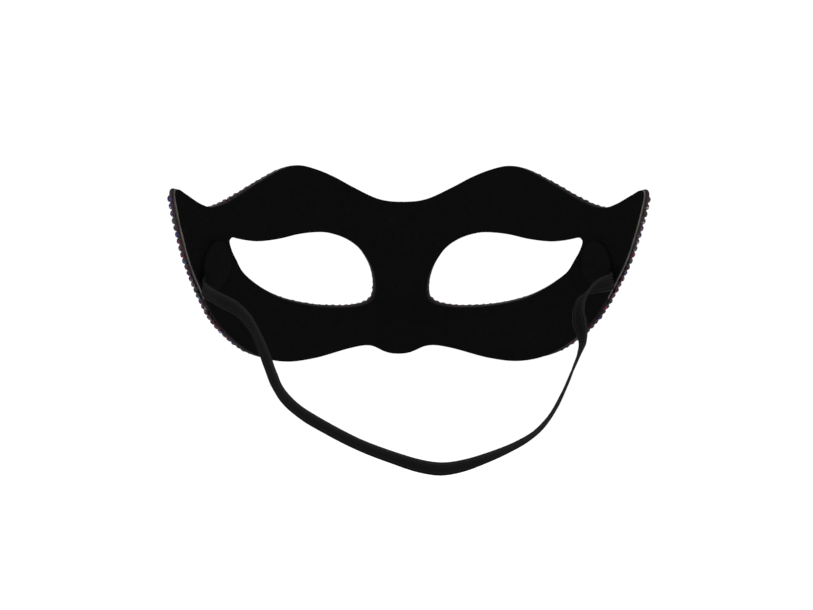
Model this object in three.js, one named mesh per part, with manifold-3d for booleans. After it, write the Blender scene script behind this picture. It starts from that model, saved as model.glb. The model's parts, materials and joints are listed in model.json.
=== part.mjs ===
// Half mask for a party: a stiff plastic shell lined with black felt, covered in cut stones on its front,
// with a flat elastic strap that hangs in a loop from a felt pad at each temple.
// Millimetres, +Z up. The wearer's face is on the +Y side and the front of the mask looks to -Y.
// The origin is on the lining where the mask sits on the bridge of the nose, and X = 0 is the mirror plane.
import * as THREE from "three";
import { mergeVertices } from "three/addons/utils/BufferGeometryUtils.js";
import Module from "manifold-3d";

const wasm = await Module();
wasm.setup();

// Outline, measured along the curved face from the bridge of the nose
const halfGirth = 99; // centre line to the outermost edge at the temple
const browHeight = 36.4; // bridge to the crest above each eye
const cheekDrop = 38.3; // bridge to the lowest edge of each cheek
const bridgeHalf = 8.7; // centre line to the nearest edge of an eye hole
const eyeHalfWidth = 30.5;
const eyeHalfHeight = 14.3;
const eyeDrop = 3.2; // bridge down to the middle of an eye hole

// Relief of the face
const wrapRadius = 100; // of the curve round the face, seen from above
const cheekLean = 17; // degrees by which the cheeks lean forward below the eyes
const leanFrom = 2; // height at which the lean sets in
const leanBlend = 14; // height over which it sets in
const noseRise = 13; // how far the nose stands out at its lower edge
const noseHalfWidth = 13;
const noseTop = 14; // height at which the nose begins to stand out

// Walls, from the wearer's face outwards
const liningThickness = 1;
const shellThickness = 1;
const stoneHeight = 1.5;
const gap = 0.3; // between two pieces that lie on each other
const feltSetback = 0.2; // of the lining from the shell's edge
const stoneOverhang = 0.5; // of the outermost stones past the shell's edge

// Oval felt pads over the ends of the strap
const padHalfWidth = 6.2;
const padHalfHeight = 8.8;
const padPastEye = 6.6; // outer corner of the eye hole to the middle of the pad
const padDrop = 1.2; // bridge down to the middle of the pad
const padEdge = 1.7; // thickness at its rim
const padCrown = 2.5; // thickness at its middle

// Strap
const strapWidth = 6.2;
const strapThickness = 0.9;

const SURFACE_STEP = 0.05; // for the slopes of the face
const EDGE_STEPS = 2; // edge points for each row of the outline
const RING_STEPS = 4; // rings between an eye hole and the rim
const PAD_SECTORS = 28;
const PAD_RINGS = [0.45, 0.8, 1];
const STRAP_STEPS = 2; // lengths for each point of the route
const STRAP_ROUND = 0.7; // run of the strap's rounded edge, as a share of half its thickness
const STRAP_BLUNT = 1 / 3; // flat part of the strap's edge, as a share of its thickness

// Outline of one half, from the top of the centre line over the brow to the temple, back along the cheek to
// the nose and up the centre line. Each row pairs a point of the rim with the point of the eye hole that it
// faces. across and up of the rim are shares of halfGirth and of browHeight or, below the bridge, cheekDrop.
// Those of the eye are shares of eyeHalfWidth and eyeHalfHeight from the middle of the hole.
const OUTLINE = [
  { place: "rim", across: 0.0, up: 0.63, eyeAcross: -0.775, eyeUp: 0.545 },
  { place: "rim", across: 0.085, up: 0.655, eyeAcross: -0.69, eyeUp: 0.705 },
  { place: "rim", across: 0.19, up: 0.785, eyeAcross: -0.585, eyeUp: 0.84 },
  { place: "rim", across: 0.26, up: 0.885, eyeAcross: -0.47, eyeUp: 0.935 },
  { place: "rim", across: 0.33, up: 0.96, eyeAcross: -0.32, eyeUp: 1.0 },
  { place: "rim", across: 0.4, up: 1.0, eyeAcross: -0.14, eyeUp: 0.99 },
  { place: "rim", across: 0.465, up: 0.97, eyeAcross: 0.04, eyeUp: 0.935 },
  { place: "rim", across: 0.58, up: 0.81, eyeAcross: 0.27, eyeUp: 0.82 },
  { place: "rim", across: 0.685, up: 0.65, eyeAcross: 0.55, eyeUp: 0.75 },
  { place: "rim", across: 0.753, up: 0.575, eyeAcross: 0.73, eyeUp: 0.775 },
  { place: "rim", across: 0.807, up: 0.555, eyeAcross: 0.83, eyeUp: 0.81 },
  { place: "rim", across: 0.862, up: 0.59, eyeAcross: 0.92, eyeUp: 0.845 },
  { place: "rim", across: 0.939, up: 0.675, eyeAcross: 0.97, eyeUp: 0.835 },
  { place: "rim", across: 0.99, up: 0.72, eyeAcross: 1.0, eyeUp: 0.77 },
  { place: "rim", across: 1.0, up: 0.685, eyeAcross: 0.995, eyeUp: 0.7 },
  { place: "rim", across: 0.98, up: 0.485, eyeAcross: 0.975, eyeUp: 0.6 },
  { place: "rim", across: 0.945, up: 0.26, eyeAcross: 0.94, eyeUp: 0.47 },
  { place: "rim", across: 0.898, up: 0.02, eyeAcross: 0.875, eyeUp: 0.28 },
  { place: "rim", across: 0.815, up: -0.268, eyeAcross: 0.77, eyeUp: -0.01 },
  { place: "rim", across: 0.72, up: -0.56, eyeAcross: 0.57, eyeUp: -0.32 },
  { place: "rim", across: 0.646, up: -0.727, eyeAcross: 0.4, eyeUp: -0.535 },
  { place: "rim", across: 0.562, up: -0.877, eyeAcross: 0.2, eyeUp: -0.73 },
  { place: "rim", across: 0.488, up: -0.963, eyeAcross: -0.02, eyeUp: -0.865 },
  { place: "rim", across: 0.4, up: -1.0, eyeAcross: -0.25, eyeUp: -0.955 },
  { place: "rim", across: 0.305, up: -0.97, eyeAcross: -0.47, eyeUp: -0.995 },
  { place: "rim", across: 0.175, up: -0.875, eyeAcross: -0.68, eyeUp: -1.0 },
  { place: "rim", across: 0.11, up: -0.85, eyeAcross: -0.82, eyeUp: -0.97 },
  { place: "rim", across: 0.075, up: -0.87, eyeAcross: -0.905, eyeUp: -0.93 },
  { place: "rim", across: 0.035, up: -0.93, eyeAcross: -0.96, eyeUp: -0.865 },
  { place: "rim", across: 0.0, up: -0.945, eyeAcross: -0.99, eyeUp: -0.775 },
  { place: "centre", across: 0.0, up: -0.66, eyeAcross: -1.0, eyeUp: -0.58 },
  { place: "centre", across: 0.0, up: -0.36, eyeAcross: -0.99, eyeUp: -0.37 },
  { place: "centre", across: 0.0, up: -0.05, eyeAcross: -0.965, eyeUp: -0.16 },
  { place: "centre", across: 0.0, up: 0.2, eyeAcross: -0.915, eyeUp: 0.1 },
  { place: "centre", across: 0.0, up: 0.42, eyeAcross: -0.85, eyeUp: 0.33 },
];

// Middle line of the strap from the left pad to the right one, chosen by hand. turn is how far, in degrees,
// the strap's width is turned about the line, away from upright.
const STRAP_ROUTE = [
  { x: 71.9, y: 31.9, z: -5.2, turn: -12 },
  { x: 73.8, y: 34.3, z: -6.8, turn: -11 },
  { x: 74.9, y: 37.4, z: -8.2, turn: -8 },
  { x: 74.9, y: 41.1, z: -9.4, turn: 0 },
  { x: 73.8, y: 44.8, z: -10.6, turn: 10 },
  { x: 71.8, y: 48.5, z: -11.9, turn: 19 },
  { x: 68.8, y: 52.4, z: -13.6, turn: 23 },
  { x: 62.5, y: 58.2, z: -16.9, turn: 24 },
  { x: 57.7, y: 63.2, z: -22.3, turn: 18 },
  { x: 54.8, y: 67.4, z: -28.2, turn: 9 },
  { x: 52.3, y: 71.4, z: -34.6, turn: 3 },
  { x: 49.9, y: 75.4, z: -41.1, turn: 5 },
  { x: 46.9, y: 79.6, z: -46.5, turn: 20 },
  { x: 41.2, y: 84.4, z: -51.8, turn: 34 },
  { x: 33.0, y: 88.4, z: -56.7, turn: 40 },
  { x: 21.1, y: 92.4, z: -62.7, turn: 44 },
  { x: 9.3, y: 95.2, z: -67.1, turn: 44 },
  { x: 0.2, y: 96.2, z: -69.9, turn: 41 },
  { x: -7.0, y: 96.2, z: -70.9, turn: 40 },
  { x: -14.2, y: 95.2, z: -70.0, turn: 43 },
  { x: -23.0, y: 93.2, z: -67.4, turn: 50 },
  { x: -32.0, y: 90.4, z: -64.0, turn: 56 },
  { x: -39.3, y: 87.5, z: -60.2, turn: 56 },
  { x: -44.8, y: 84.5, z: -55.4, turn: 48 },
  { x: -49.6, y: 80.5, z: -48.8, turn: 38 },
  { x: -54.0, y: 75.5, z: -40.9, turn: 34 },
  { x: -57.2, y: 71.2, z: -34.8, turn: 37 },
  { x: -59.5, y: 67.5, z: -30.5, turn: 38 },
  { x: -60.3, y: 64.8, z: -27.0, turn: 24 },
  { x: -60.0, y: 62.2, z: -23.5, turn: 20 },
  { x: -59.4, y: 60.0, z: -19.7, turn: 34 },
  { x: -59.9, y: 57.5, z: -16.1, turn: 53 },
  { x: -61.9, y: 54.2, z: -12.3, turn: 62 },
  { x: -65.2, y: 50.9, z: -9.7, turn: 48 },
  { x: -69.5, y: 48.0, z: -8.3, turn: 20 },
  { x: -72.7, y: 44.9, z: -7.6, turn: 0 },
  { x: -74.5, y: 41.2, z: -7.0, turn: -4 },
  { x: -74.9, y: 37.4, z: -6.4, turn: -8 },
  { x: -73.8, y: 34.3, z: -5.5, turn: -11 },
  { x: -71.9, y: 31.9, z: -4.4, turn: -12 },
];

const felt = new THREE.MeshStandardMaterial({ color: 0x0d0d0d, roughness: 1, metalness: 0 });
const padFelt = new THREE.MeshStandardMaterial({ color: 0x121212, roughness: 1, metalness: 0 });
const greyPlastic = new THREE.MeshStandardMaterial({ color: 0x4a4744, roughness: 0.45, metalness: 0 });
const darkStone = new THREE.MeshStandardMaterial({ color: 0x2a2033, roughness: 0.1, metalness: 0.3 });
const elastic = new THREE.MeshStandardMaterial({ color: 0x151515, roughness: 0.8, metalness: 0 });

// How far the face stands forward of the plain wrap at a place on it
function relief(across, up) {
  const below = leanFrom - up;
  const slope = Math.tan(THREE.MathUtils.degToRad(cheekLean));
  const cheek = (slope * (below + Math.hypot(below, leanBlend))) / 2;
  const share = THREE.MathUtils.smoothstep(noseTop - up, 0, noseTop + cheekDrop);
  const nose = noseRise * share * Math.exp(-((across / noseHalfWidth) ** 2));
  return cheek + nose;
}

// Point of the lining's inner face, with the bridge of the nose at the origin
function facePoint(across, up) {
  const turn = across / wrapRadius;
  const radius = wrapRadius + relief(across, up);
  const back = wrapRadius + relief(0, 0);
  return new THREE.Vector3(radius * Math.sin(turn), back - radius * Math.cos(turn), up);
}

// Point that lies a depth in front of the lining's inner face, square to it
function layerPoint(across, up, depth) {
  const alongAcross = facePoint(across + SURFACE_STEP, up).sub(facePoint(across - SURFACE_STEP, up));
  const alongUp = facePoint(across, up + SURFACE_STEP).sub(facePoint(across, up - SURFACE_STEP));
  const forward = alongAcross.cross(alongUp).normalize();
  return facePoint(across, up).addScaledVector(forward, depth);
}

const rimPlace = (row) =>
  new THREE.Vector3(row.across * halfGirth, row.up * (row.up < 0 ? cheekDrop : browHeight), 0);
const eyePlace = (row) =>
  new THREE.Vector3(
    bridgeHalf + eyeHalfWidth * (1 + row.eyeAcross),
    eyeHalfHeight * row.eyeUp - eyeDrop,
    0,
  );

// Moves a closed outline's points square to it, to its left hand side if the distance is positive
function shifted(points, distance, closed) {
  const last = points.length - 1;
  return points.map((point, i) => {
    const before = closed ? points[(i + last) % (last + 1)] : points[Math.max(0, i - 1)];
    const after = closed ? points[(i + 1) % (last + 1)] : points[Math.min(last, i + 1)];
    const along = after.clone().sub(before).normalize();
    return new THREE.Vector3(point.x - along.y * distance, point.y + along.x * distance, 0);
  });
}

// The two outlines of one half, point by point: the eye hole, and the rim closed by the centre line.
// rimOut and eyeIn move them past the shell's own edge.
function halfOutlines(rimOut, eyeIn) {
  const rimRows = OUTLINE.filter((row) => row.place === "rim").map(rimPlace);
  const mirrored = rimRows.slice(1, -1).reverse().map((p) => new THREE.Vector3(-p.x, p.y, 0));
  const rimCurve = new THREE.CatmullRomCurve3([...rimRows, ...mirrored], true, "centripetal");
  const eyeCurve = new THREE.CatmullRomCurve3(OUTLINE.map(eyePlace), true, "centripetal");
  const rimCount = rimRows.length + mirrored.length;
  const rimPoints = [];
  for (let i = 0; i <= (rimRows.length - 1) * EDGE_STEPS; i++)
    rimPoints.push(rimCurve.getPoint(i / EDGE_STEPS / rimCount));
  const rim = shifted(rimPoints, rimOut, false);
  rim[0].x = 0;
  rim[rim.length - 1].x = 0;
  const lowest = rim[rim.length - 1].y;
  const highest = rim[0].y;
  const centreRows = OUTLINE.length - rimRows.length + 1;
  for (let i = 1; i < centreRows * EDGE_STEPS; i++)
    rim.push(new THREE.Vector3(0, lowest + ((highest - lowest) * i) / (centreRows * EDGE_STEPS), 0));
  const eyePoints = [];
  for (let i = 0; i < OUTLINE.length * EDGE_STEPS; i++)
    eyePoints.push(eyeCurve.getPoint(i / EDGE_STEPS / OUTLINE.length));
  const eye = shifted(eyePoints, -eyeIn, true);
  return { rim, eye, rimSteps: (rimRows.length - 1) * EDGE_STEPS };
}

// Closed geometry from corner points and triangles, with equal corners merged
function closedGeometry(points, triangles) {
  const corners = triangles.flatMap((i) => points[i].toArray());
  const loose = new THREE.BufferGeometry();
  loose.setAttribute("position", new THREE.Float32BufferAttribute(corners, 3));
  return mergeVertices(loose, 1e-4);
}

// One wall of the mask: everything between two depths in front of the lining's inner face
function maskWall(fromDepth, toDepth, rimOut, eyeIn) {
  const { rim, eye, rimSteps } = halfOutlines(rimOut, eyeIn);
  const count = rim.length;
  const points = [];
  const triangles = [];
  const quad = (a, b, c, d, turned) =>
    turned ? triangles.push(a, b, c, a, c, d) : triangles.push(a, c, b, a, d, c);
  for (const side of [1, -1]) {
    const turned = side < 0;
    const start = points.length;
    for (const depth of [fromDepth, toDepth])
      for (let ring = 0; ring <= RING_STEPS; ring++)
        for (let i = 0; i < count; i++) {
          const place = eye[i].clone().lerp(rim[i], ring / RING_STEPS);
          points.push(layerPoint(side * place.x, place.y, depth));
        }
    const at = (layer, ring, i) => start + (layer * (RING_STEPS + 1) + ring) * count + (i % count);
    const rimAt = (layer, i) => at(layer, RING_STEPS, i);
    for (let i = 0; i < count; i++) {
      for (let ring = 0; ring < RING_STEPS; ring++) {
        quad(at(0, ring, i), at(0, ring + 1, i), at(0, ring + 1, i + 1), at(0, ring, i + 1), !turned);
        quad(at(1, ring, i), at(1, ring + 1, i), at(1, ring + 1, i + 1), at(1, ring, i + 1), turned);
      }
      quad(at(0, 0, i), at(0, 0, i + 1), at(1, 0, i + 1), at(1, 0, i), !turned);
      if (i < rimSteps) quad(rimAt(0, i), rimAt(0, i + 1), rimAt(1, i + 1), rimAt(1, i), turned);
    }
  }
  return closedGeometry(points, triangles);
}

// Flat strap along its route, as a loft of one eight-sided section. past is how far it goes beyond each end
// of the route.
function strapBody(width, thickness, past) {
  const line = new THREE.CatmullRomCurve3(
    STRAP_ROUTE.map((row) => new THREE.Vector3(row.x, row.y, row.z)),
    false,
    "centripetal",
  );
  const half = width / 2;
  const deep = thickness / 2;
  const flat = half - deep * STRAP_ROUND;
  const blunt = deep * STRAP_BLUNT;
  const section = [
    [half, blunt],
    [flat, deep],
    [-flat, deep],
    [-half, blunt],
    [-half, -blunt],
    [-flat, -deep],
    [flat, -deep],
    [half, -blunt],
  ];
  const sides = section.length;
  const steps = (STRAP_ROUTE.length - 1) * STRAP_STEPS;
  const upright = new THREE.Vector3(0, 0, 1);
  const points = [];
  for (let i = 0; i <= steps; i++) {
    const row = Math.min(Math.floor(i / STRAP_STEPS), STRAP_ROUTE.length - 2);
    const between = i / STRAP_STEPS - row;
    const degrees = THREE.MathUtils.lerp(STRAP_ROUTE[row].turn, STRAP_ROUTE[row + 1].turn, between);
    const along = line.getTangent(i / steps);
    const across = upright
      .clone()
      .addScaledVector(along, -upright.dot(along))
      .normalize()
      .applyAxisAngle(along, THREE.MathUtils.degToRad(degrees));
    const outward = along.clone().cross(across);
    const middle = line.getPoint(i / steps);
    if (i === 0) middle.addScaledVector(along, -past);
    if (i === steps) middle.addScaledVector(along, past);
    for (const [w, t] of section)
      points.push(middle.clone().addScaledVector(across, w).addScaledVector(outward, t));
  }
  const triangles = [];
  for (let i = 0; i < steps; i++)
    for (let k = 0; k < sides; k++) {
      const a = i * sides + k;
      const b = i * sides + ((k + 1) % sides);
      triangles.push(a, b, b + sides, a, b + sides, a + sides);
    }
  const end = steps * sides;
  for (let k = 1; k < sides - 1; k++) {
    triangles.push(0, k + 1, k);
    triangles.push(end, end + k, end + k + 1);
  }
  return closedGeometry(points, triangles);
}

// Domed oval pad on the lining, before the strap's way is cut through it
function padBody(side) {
  const middleAcross = bridgeHalf + 2 * eyeHalfWidth + padPastEye;
  const points = [];
  const layer = (height) => {
    points.push(layerPoint(side * middleAcross, -padDrop, height(0)));
    for (const share of PAD_RINGS)
      for (let i = 0; i < PAD_SECTORS; i++) {
        const turn = (i / PAD_SECTORS) * 2 * Math.PI;
        const across = middleAcross + padHalfWidth * share * Math.cos(turn);
        const up = -padDrop + padHalfHeight * share * Math.sin(turn);
        points.push(layerPoint(side * across, up, height(share)));
      }
  };
  layer(() => -gap);
  layer((share) => -gap - padCrown + (padCrown - padEdge) * share ** 2);
  const perLayer = 1 + PAD_RINGS.length * PAD_SECTORS;
  const at = (level, ring, i) => level * perLayer + 1 + ring * PAD_SECTORS + (i % PAD_SECTORS);
  const triangles = [];
  const add = (a, b, c) => (side > 0 ? triangles.push(a, b, c) : triangles.push(a, c, b));
  for (let i = 0; i < PAD_SECTORS; i++) {
    add(0, at(0, 0, i), at(0, 0, i + 1));
    add(perLayer, at(1, 0, i + 1), at(1, 0, i));
    for (let ring = 0; ring < PAD_RINGS.length - 1; ring++) {
      add(at(0, ring, i), at(0, ring + 1, i), at(0, ring + 1, i + 1));
      add(at(0, ring, i), at(0, ring + 1, i + 1), at(0, ring, i + 1));
      add(at(1, ring, i), at(1, ring + 1, i + 1), at(1, ring + 1, i));
      add(at(1, ring, i), at(1, ring, i + 1), at(1, ring + 1, i + 1));
    }
    const outer = PAD_RINGS.length - 1;
    add(at(0, outer, i), at(1, outer, i), at(1, outer, i + 1));
    add(at(0, outer, i), at(1, outer, i + 1), at(0, outer, i + 1));
  }
  return closedGeometry(points, triangles);
}

// A closed geometry as a solid that can be cut
function solidFrom(geometry) {
  return new wasm.Manifold(
    new wasm.Mesh({
      numProp: 3,
      vertProperties: new Float32Array(geometry.attributes.position.array),
      triVerts: new Uint32Array(geometry.index.array),
    }),
  );
}

function geometryFrom(solid) {
  const mesh = solid.getMesh();
  const geometry = new THREE.BufferGeometry();
  geometry.setAttribute("position", new THREE.BufferAttribute(new Float32Array(mesh.vertProperties), 3));
  geometry.setIndex(new THREE.BufferAttribute(new Uint32Array(mesh.triVerts), 1));
  return geometry;
}

// Pad with the way of the strap cut through it
function strapPad(side) {
  const way = solidFrom(strapBody(strapWidth + 2 * gap, strapThickness + 2 * gap, gap));
  return geometryFrom(solidFrom(padBody(side)).subtract(way));
}

function piece(name, geometry, material) {
  geometry.computeVertexNormals();
  const mesh = new THREE.Mesh(geometry, material);
  mesh.name = name;
  return mesh;
}

const shellFrom = liningThickness + gap;
const stonesFrom = shellFrom + shellThickness + gap;

const mask = new THREE.Group();
mask.add(piece("lining", maskWall(0, liningThickness, -feltSetback, -feltSetback), felt));
mask.add(piece("shell", maskWall(shellFrom, shellFrom + shellThickness, 0, 0), greyPlastic));
mask.add(
  piece(
    "stone_field",
    maskWall(stonesFrom, stonesFrom + stoneHeight, stoneOverhang, stoneOverhang),
    darkStone,
  ),
);
mask.add(piece("strap_pad_left", strapPad(1), padFelt));
mask.add(piece("strap_pad_right", strapPad(-1), padFelt));
mask.add(piece("elastic_strap", strapBody(strapWidth, strapThickness, 0), elastic));

export default mask;
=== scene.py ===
"""Half mask seen from the wearer's side: black felt on a moulded shell, its front set with dark cut
stones, and a flat elastic strap that hangs in a loop from a felt pad at each temple. Metres, in the frame
of the packed model: +Z up, the wearer on the +Y side, the origin where the lining sits on the bridge of
the nose."""

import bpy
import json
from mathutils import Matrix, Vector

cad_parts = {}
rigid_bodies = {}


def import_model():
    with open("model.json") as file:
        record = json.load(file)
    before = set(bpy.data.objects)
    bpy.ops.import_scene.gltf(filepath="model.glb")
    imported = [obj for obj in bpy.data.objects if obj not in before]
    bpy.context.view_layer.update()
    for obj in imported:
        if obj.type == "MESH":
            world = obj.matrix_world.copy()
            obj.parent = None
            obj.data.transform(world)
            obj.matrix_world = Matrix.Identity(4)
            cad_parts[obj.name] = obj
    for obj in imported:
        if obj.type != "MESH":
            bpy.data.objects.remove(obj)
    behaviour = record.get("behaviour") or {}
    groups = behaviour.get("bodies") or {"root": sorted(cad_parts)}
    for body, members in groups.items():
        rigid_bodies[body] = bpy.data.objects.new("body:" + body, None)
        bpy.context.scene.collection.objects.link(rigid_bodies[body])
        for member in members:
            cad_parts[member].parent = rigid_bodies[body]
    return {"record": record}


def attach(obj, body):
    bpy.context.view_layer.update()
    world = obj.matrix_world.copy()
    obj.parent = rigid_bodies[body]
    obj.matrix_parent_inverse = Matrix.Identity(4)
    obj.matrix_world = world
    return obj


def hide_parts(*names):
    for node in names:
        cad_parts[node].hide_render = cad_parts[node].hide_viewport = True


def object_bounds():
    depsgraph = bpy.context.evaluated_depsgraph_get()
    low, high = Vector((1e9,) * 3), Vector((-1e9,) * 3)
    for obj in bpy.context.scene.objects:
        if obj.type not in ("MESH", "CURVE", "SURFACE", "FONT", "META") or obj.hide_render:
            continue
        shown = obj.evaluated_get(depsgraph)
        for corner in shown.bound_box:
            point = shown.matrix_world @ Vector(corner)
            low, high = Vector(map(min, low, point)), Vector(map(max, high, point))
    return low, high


bl_info = {
    "name": "Half Mask",
    "version": (1, 0, 0),
    "blender": (4, 5, 0),
    "location": "View3D > Sidebar > Half Mask",
    "description": "Felt, plastic, cut stones and elastic for a half mask",
    "category": "Object",
}

import json
import math

import bmesh
import bpy
import numpy as np
from bpy.props import FloatProperty, FloatVectorProperty, IntProperty, PointerProperty
from mathutils import Vector

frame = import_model()
CAD_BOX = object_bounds()
FINISHES = {m["slot"]: m["base_color"][:3] for m in frame["record"]["materials"]}
SIDES = {"left": 1, "right": -1}  # the wearer's left is +X

# Outline of one half, as the solids have it, round its rim and up the centre line. Each row pairs a point
# of the rim with the point of the eye hole that it faces. Rim: shares of the half girth and of the brow
# height or, below the bridge, the cheek drop. Eye hole: shares of its half width and half height from its
# middle. The last two say how far the stones stand past the shell at the rim and in the eye hole, as
# multiples of the overhang. Columns: across, up, eye across, eye up, stones past rim, stones past eye
RIM = [
    (0.0, 0.63, -0.775, 0.545, 0, 0),
    (0.085, 0.655, -0.69, 0.705, 0, 0),
    (0.19, 0.785, -0.585, 0.84, 0, 0),
    (0.26, 0.885, -0.47, 0.935, 0, 0),
    (0.33, 0.96, -0.32, 1.0, 0, 0),
    (0.4, 1.0, -0.14, 0.99, 0, 0),
    (0.465, 0.97, 0.04, 0.935, 0.1, 0),
    (0.58, 0.81, 0.27, 0.82, 0.7, 0),
    (0.685, 0.65, 0.55, 0.75, 1, 0),
    (0.753, 0.575, 0.73, 0.775, 0.8, 0),
    (0.807, 0.555, 0.83, 0.81, 0, 0),
    (0.862, 0.59, 0.92, 0.845, 0, 0),
    (0.939, 0.675, 0.97, 0.835, 0, 0),
    (0.99, 0.72, 1.0, 0.77, 0.5, 0),
    (1.0, 0.685, 0.995, 0.7, 1, 0),
    (0.98, 0.485, 0.975, 0.6, 1, 0),
    (0.945, 0.26, 0.94, 0.47, 1, 0),
    (0.898, 0.02, 0.875, 0.28, 1.3, 0),
    (0.815, -0.268, 0.77, -0.01, 1.8, 0.1),
    (0.72, -0.56, 0.57, -0.32, 2.1, 0.2),
    (0.646, -0.727, 0.4, -0.535, 2.1, 0.3),
    (0.562, -0.877, 0.2, -0.73, 1.8, 0.4),
    (0.488, -0.963, -0.02, -0.865, 0.4, 0.4),
    (0.4, -1.0, -0.25, -0.955, 0, 0.4),
    (0.305, -0.97, -0.47, -0.995, 0, 0.5),
    (0.175, -0.875, -0.68, -1.0, 0, 0.5),
    (0.11, -0.85, -0.82, -0.97, 0, 0.5),
    (0.075, -0.87, -0.905, -0.93, 0, 0.5),
    (0.035, -0.93, -0.96, -0.865, 0, 0.6),
    (0.0, -0.945, -0.99, -0.775, 0, 0.6),
]
CENTRE = [
    (0.0, -0.66, -1.0, -0.58, 0, 0.6),
    (0.0, -0.36, -0.99, -0.37, 0, 0.6),
    (0.0, -0.05, -0.965, -0.16, 0, 0.5),
    (0.0, 0.2, -0.915, 0.1, 0, 0.3),
    (0.0, 0.42, -0.85, 0.33, 0, 0.1),
]
OUTLINE = RIM + CENTRE

# Middle line of the strap from the left pad to the right one, in metres, and how far in degrees its width
# is turned about that line, away from upright. Columns: x, y, z, turn
STRAP_ROUTE = [
    (0.0719, 0.0319, -0.0052, -12),
    (0.0738, 0.0343, -0.0068, -11),
    (0.0749, 0.0374, -0.0082, -8),
    (0.0749, 0.0411, -0.0094, 0),
    (0.0738, 0.0448, -0.0106, 10),
    (0.0718, 0.0485, -0.0119, 19),
    (0.0688, 0.0524, -0.0136, 23),
    (0.0625, 0.0582, -0.0169, 24),
    (0.0577, 0.0632, -0.0223, 18),
    (0.0548, 0.0674, -0.0282, 9),
    (0.0523, 0.0714, -0.0346, 3),
    (0.0499, 0.0754, -0.0411, 5),
    (0.0469, 0.0796, -0.0465, 20),
    (0.0412, 0.0844, -0.0518, 34),
    (0.0330, 0.0884, -0.0567, 40),
    (0.0211, 0.0924, -0.0627, 44),
    (0.0093, 0.0952, -0.0671, 44),
    (0.0002, 0.0962, -0.0699, 41),
    (-0.0070, 0.0962, -0.0709, 40),
    (-0.0142, 0.0952, -0.0700, 43),
    (-0.0230, 0.0932, -0.0674, 50),
    (-0.0320, 0.0904, -0.0640, 56),
    (-0.0393, 0.0875, -0.0602, 56),
    (-0.0448, 0.0845, -0.0554, 48),
    (-0.0496, 0.0805, -0.0488, 38),
    (-0.0540, 0.0755, -0.0409, 34),
    (-0.0572, 0.0712, -0.0348, 37),
    (-0.0595, 0.0675, -0.0305, 38),
    (-0.0603, 0.0648, -0.0270, 24),
    (-0.0600, 0.0622, -0.0235, 20),
    (-0.0594, 0.0600, -0.0197, 34),
    (-0.0599, 0.0575, -0.0161, 53),
    (-0.0619, 0.0542, -0.0123, 62),
    (-0.0652, 0.0509, -0.0097, 48),
    (-0.0695, 0.0480, -0.0083, 20),
    (-0.0727, 0.0449, -0.0076, 0),
    (-0.0745, 0.0412, -0.0070, -4),
    (-0.0749, 0.0374, -0.0064, -8),
    (-0.0738, 0.0343, -0.0055, -11),
    (-0.0719, 0.0319, -0.0044, -12),
]


def length(name, description, default):
    return FloatProperty(name=name, description=description, default=default, unit="LENGTH", precision=5)


def shade(name, description, default):
    return FloatVectorProperty(
        name=name, description=description, default=default, subtype="COLOR", size=3, min=0, max=1
    )


class MaskForm(bpy.types.PropertyGroup):
    """Sizes of the mask's curved walls"""

    half_girth: length("Half girth", "Centre line to the temple's edge, along the face", 0.099)
    brow_height: length("Brow height", "Bridge to the crest above each eye", 0.0364)
    cheek_drop: length("Cheek drop", "Bridge to the lowest edge of each cheek", 0.0383)
    bridge_half: length("Half bridge", "Centre line to the nearest edge of an eye hole", 0.0087)
    eye_half_width: length("Eye half width", "Half of an eye hole's width", 0.0305)
    eye_half_height: length("Eye half height", "Half of an eye hole's height", 0.0143)
    eye_drop: length("Eye drop", "Bridge down to the middle of an eye hole", 0.0032)
    wrap_radius: length("Wrap radius", "Radius of the curve round the face", 0.1)
    cheek_lean: FloatProperty(
        name="Cheek lean",
        description="Angle by which the cheeks lean forward",
        default=math.radians(17),
        subtype="ANGLE",
    )
    lean_from: length("Lean from", "Height at which the lean sets in", 0.002)
    lean_blend: length("Lean blend", "Height over which the lean sets in", 0.014)
    nose_rise: length("Nose rise", "How far the nose stands out at its lower edge", 0.013)
    nose_half_width: length("Nose half width", "Half width of the nose", 0.013)
    nose_top: length("Nose top", "Height at which the nose begins to stand out", 0.014)
    felt: length("Felt", "Thickness of the lining with its glue", 0.00127)
    felt_setback: length("Felt setback", "The lining's edge inside the shell's", 0.0002)
    shell_from: length("Shell from", "Face of the lining to the shell", 0.0013)
    shell: length("Shell", "Thickness of the shell", 0.001)


class StoneCut(bpy.types.PropertyGroup):
    """Sizes and layout of the cut stones"""

    diameter: length("Diameter", "Across a stone's girdle", 0.00276)
    height: length("Height", "A stone's back to its table", 0.0022)
    pitch: length("Pitch", "Middle to middle of two stones that touch", 0.00278)
    bed: length("Bed", "Thickness of the glue that holds the stones", 0.00105)
    bed_overhang: length("Bed overhang", "The glue past the shell, for 1 in the outline", 0.00042)
    overhang: length("Overhang", "The stones past the shell, for 1 in the outline", 0.0006)
    tilt: FloatProperty(name="Tilt", description="Largest lean of a stone, as a slope", default=0.07)
    seed: IntProperty(name="Seed", description="Choice of the stones' turns and tints", default=11)


class StrapSizes(bpy.types.PropertyGroup):
    """Sizes of the elastic strap and its pads"""

    width: length("Width", "Width of the elastic", 0.0062)
    thickness: length("Thickness", "Thickness of the elastic at its edges", 0.0009)
    free_length: length("Free length", "Length of elastic from pad to pad", 0.267)
    pad_half_width: length("Pad half width", "Half width of a pad", 0.0062)
    pad_half_height: length("Pad half height", "Half height of a pad", 0.0088)
    pad_past_eye: length("Pad past eye", "Corner of the eye hole to the pad's middle", 0.0066)
    pad_drop: length("Pad drop", "Bridge down to a pad's middle", 0.0012)
    pad_edge: length("Pad edge", "Thickness at a pad's rim", 0.0017)
    pad_crown: length("Pad crown", "Thickness at a pad's middle", 0.0025)


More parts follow.
